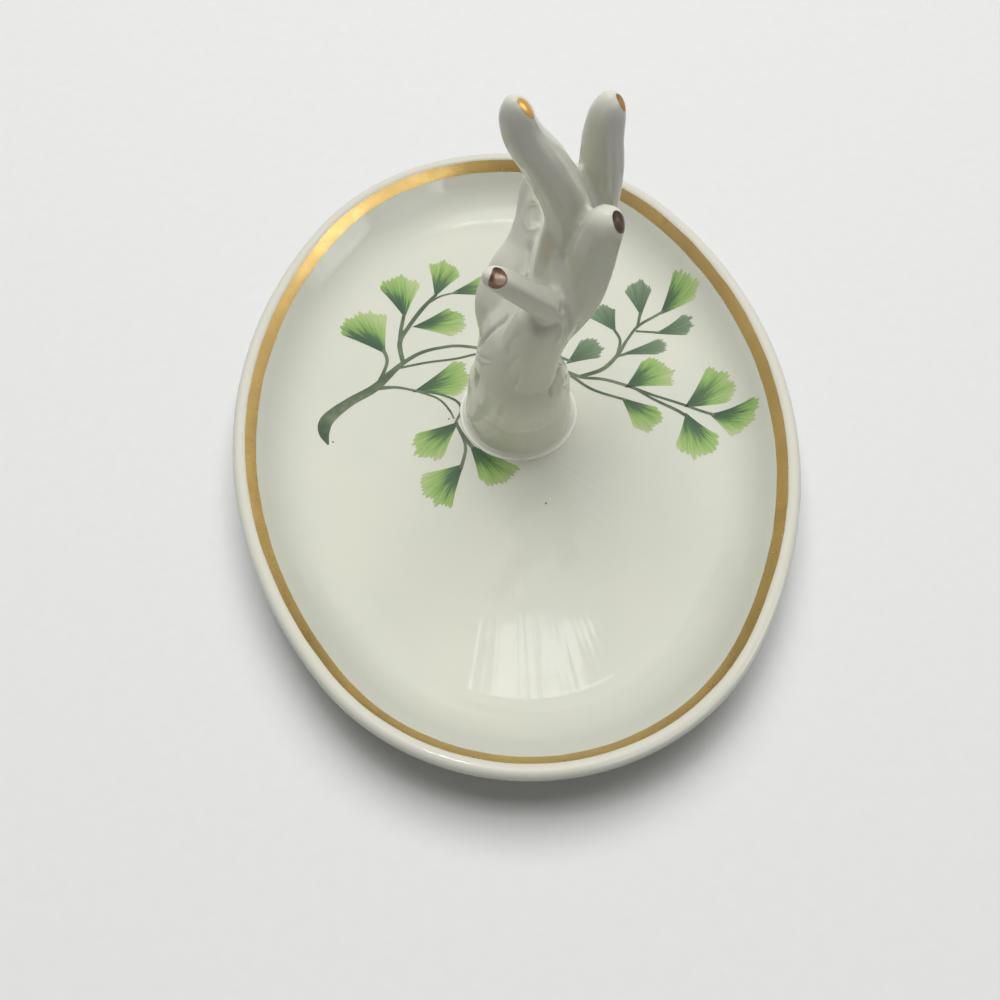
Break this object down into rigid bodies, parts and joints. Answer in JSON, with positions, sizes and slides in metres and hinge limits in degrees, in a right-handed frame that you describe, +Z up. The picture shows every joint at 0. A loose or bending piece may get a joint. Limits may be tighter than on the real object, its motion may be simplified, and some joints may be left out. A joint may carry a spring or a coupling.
{
  "type": "ring dish",
  "caption": "Oval white porcelain ring dish with a rounded lip, a gold band, green fern sprays and a standing hand whose fingers hold rings.",
  "frame": {"origin": "middle of the oval dish in plan, on the table surface", "axes": "+Z up, +Y along the dish's length towards the thumb side of the hand, +X across it towards the back of the hand; the palm faces -X"},
  "size_m": [0.104, 0.137, 0.0806],
  "materials": {
    "porcelain": "white porcelain under a glossy clear glaze",
    "gold": "fired gold, polished and slightly worn",
    "leaf_green": "fired enamel, dark green running into yellow-green, glossy",
    "stem_green": "fired enamel, dark grey-green, glossy"
  },
  "bodies": {
    "root": {"dish": "porcelain", "wrist_and_palm": "porcelain", "thumb": "porcelain", "index_finger": "porcelain", "middle_finger": "porcelain", "ring_finger": "porcelain", "little_finger": "porcelain", "luting_fillet": "porcelain", "rim_gilt_band": "gold", "thumb_nail_gilding": "gold", "index_nail_gilding": "gold", "middle_nail_gilding": "gold", "ring_nail_gilding": "gold", "little_nail_gilding": "gold", "left_spray_leaves": "leaf_green", "right_spray_leaves": "leaf_green", "left_spray_stems": "stem_green", "right_spray_stems": "stem_green"}
  },
  "joints": []
}
